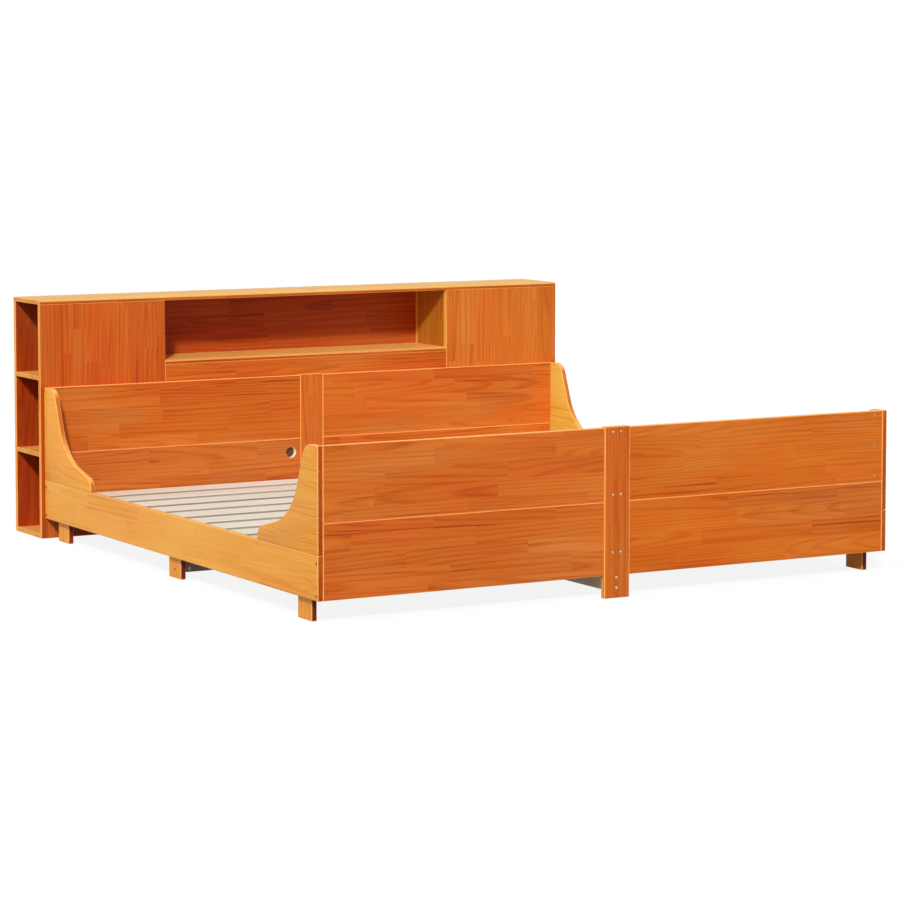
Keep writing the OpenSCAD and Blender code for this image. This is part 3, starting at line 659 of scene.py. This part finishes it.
def shapeBracket(values, low):
    outline = bracketOutline(values)
    bpy.ops.object.select_all(action="DESELECT")
    bpy.ops.mesh.primitive_circle_add(vertices=len(outline), fill_type="NGON")
    bracket = bpy.context.object
    for vertex, point in zip(bracket.data.vertices, outline):
        vertex.co = (low[0], low[1] + point.x, low[2] + point.y)
    bpy.ops.object.mode_set(mode="EDIT")
    bpy.ops.mesh.select_all(action="SELECT")
    bpy.ops.mesh.extrude_region_move(TRANSFORM_OT_translate={"value": (values["thickness"], 0.0, 0.0)})
    bpy.ops.mesh.select_all(action="SELECT")
    bpy.ops.mesh.normals_make_consistent(inside=False)
    bpy.ops.object.mode_set(mode="OBJECT")
    rounding = bracket.modifiers.new("rounding", "BEVEL")
    rounding.width = values["arris"]
    rounding.segments = values["arrisSteps"]
    rounding.limit_method = "ANGLE"
    rounding.angle_limit = math.radians(values["sharpFrom"])
    rounding.use_clamp_overlap = False
    bpy.ops.object.modifier_apply(modifier=rounding.name)
    for up in values["boltsUp"]:
        mouth = (low[0], low[1] + values["boltsIn"], low[2] + up)
        drillBracket(bracket, values, mouth, values["headRadius"], values["headDepth"])
        drillBracket(bracket, values, mouth, values["shankRadius"], values["shankDepth"])
    bpy.ops.object.shade_smooth_by_angle(angle=math.radians(values["smoothTo"]))
    return bracket


def placeBracket(first, name, node, mirrorX, mirrorY, middleY):
    bracket = first.copy()
    bracket.data = first.data.copy()
    bracket.name = bracket.data.name = name
    bpy.context.scene.collection.objects.link(bracket)
    for vertex in bracket.data.vertices:
        if mirrorX:
            vertex.co.x = -vertex.co.x
        if mirrorY:
            vertex.co.y = 2 * middleY - vertex.co.y
    selectOnly(bracket)
    bpy.ops.object.mode_set(mode="EDIT")
    bpy.ops.mesh.select_all(action="SELECT")
    bpy.ops.mesh.normals_make_consistent(inside=False)
    bpy.ops.object.mode_set(mode="OBJECT")
    bracket.data.materials.clear()
    bracket.data.materials.append(nodes[node].data.materials[0])
    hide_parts(node)
    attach(bracket, "root")


firstBracket = shapeBracket(bracketValues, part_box("ear_foot_left")[0])
bedMiddle = (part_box("ear_foot_left")[0][1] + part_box("ear_head_left")[1][1]) / 2
for node, mirrorX, mirrorY in (
        ("ear_foot_left", False, False),
        ("ear_foot_right", True, False),
        ("ear_head_left", False, True),
        ("ear_head_right", True, True)):
    placeBracket(firstBracket, node.title().replace("_", "").replace("Ear", "bracket"), node,
        mirrorX, mirrorY, bedMiddle)
bpy.data.objects.remove(firstBracket)
print("four side brackets shaped")


# Floor: white to the camera, with a faint shadow of the bed

floorValues = {
    "size": 80.0,
    "shade": 0.35,          # grey that lights the bed from below
    "seenShade": 0.99,      # grey that the camera, metal and glass see
    "white": 1.04,          # strength of the white that is mixed in for them
    "shadowShare": 0.16,    # how much of the bed's shadow stays
}


def layFloor(values):
    bpy.ops.object.select_all(action="DESELECT")
    bpy.ops.mesh.primitive_plane_add(size=values["size"], location=(0.0, 0.0, 0.0))
    floor = bpy.context.object
    floor.name = "studioFloor"
    pale = Finish("studioWhite")
    path = pale.add("ShaderNodeLightPath")
    seen = pale.math("MAXIMUM", path.outputs["Is Camera Ray"],
        pale.math("MAXIMUM", path.outputs["Is Glossy Ray"], path.outputs["Is Transmission Ray"]))
    matt = pale.add("ShaderNodeBsdfDiffuse")
    greys = [(values[key],) * 3 + (1.0,) for key in ("shade", "seenShade")]
    pale.plug(pale.blend(seen, *greys), matt.inputs["Color"])
    white = pale.add("ShaderNodeEmission")
    white.inputs["Strength"].default_value = values["white"]
    mix = pale.add("ShaderNodeMixShader")
    pale.plug(pale.times(seen, 1.0 - values["shadowShare"]), mix.inputs[0])
    pale.plug(matt.outputs[0], mix.inputs[1])
    pale.plug(white.outputs[0], mix.inputs[2])
    floor.data.materials.append(pale.surface(mix.outputs[0]))


layFloor(floorValues)


# Light: a key from the front and left, a broad fill from the left, and a pale room

lampValues = {  # angles in degrees
    "key": {"towards": (0.457, 0.707, -0.54), "strength": 2.5, "angle": 5.0},
    "fill": {"towards": (0.93, 0.12, -0.35), "strength": 0.95, "angle": 70.0},
}
roomValues = {"light": 0.38, "seen": 1.0}


def hangLamp(name, values):
    data = bpy.data.lights.new(name, "SUN")
    data.energy = values["strength"]
    data.angle = math.radians(values["angle"])
    lamp = bpy.data.objects.new(name, data)
    bpy.context.scene.collection.objects.link(lamp)
    lamp.rotation_mode = "QUATERNION"
    lamp.rotation_quaternion = Vector(values["towards"]).to_track_quat("-Z", "Y")


def paintRoom(values):
    world = bpy.data.worlds.new("paleRoom")
    bpy.context.scene.world = world
    world.use_nodes = True
    tree = world.node_tree
    tree.nodes.clear()
    output = tree.nodes.new("ShaderNodeOutputWorld")
    path = tree.nodes.new("ShaderNodeLightPath")
    seen = tree.nodes.new("ShaderNodeMath")
    seen.operation = "MAXIMUM"
    tree.links.new(path.outputs["Is Camera Ray"], seen.inputs[0])
    tree.links.new(path.outputs["Is Glossy Ray"], seen.inputs[1])
    mix = tree.nodes.new("ShaderNodeMixShader")
    tree.links.new(seen.outputs[0], mix.inputs[0])
    for key, socket in (("light", mix.inputs[1]), ("seen", mix.inputs[2])):
        air = tree.nodes.new("ShaderNodeBackground")
        air.inputs["Color"].default_value = (1.0, 1.0, 1.0, 1.0)
        air.inputs["Strength"].default_value = values[key]
        tree.links.new(air.outputs[0], socket)
    tree.links.new(mix.outputs[0], output.inputs["Surface"])


for lampName, lampSetting in lampValues.items():
    hangLamp(lampName, lampSetting)
paintRoom(roomValues)
bpy.context.scene.view_settings.view_transform = "Standard"
print("floor, lamps and room set")
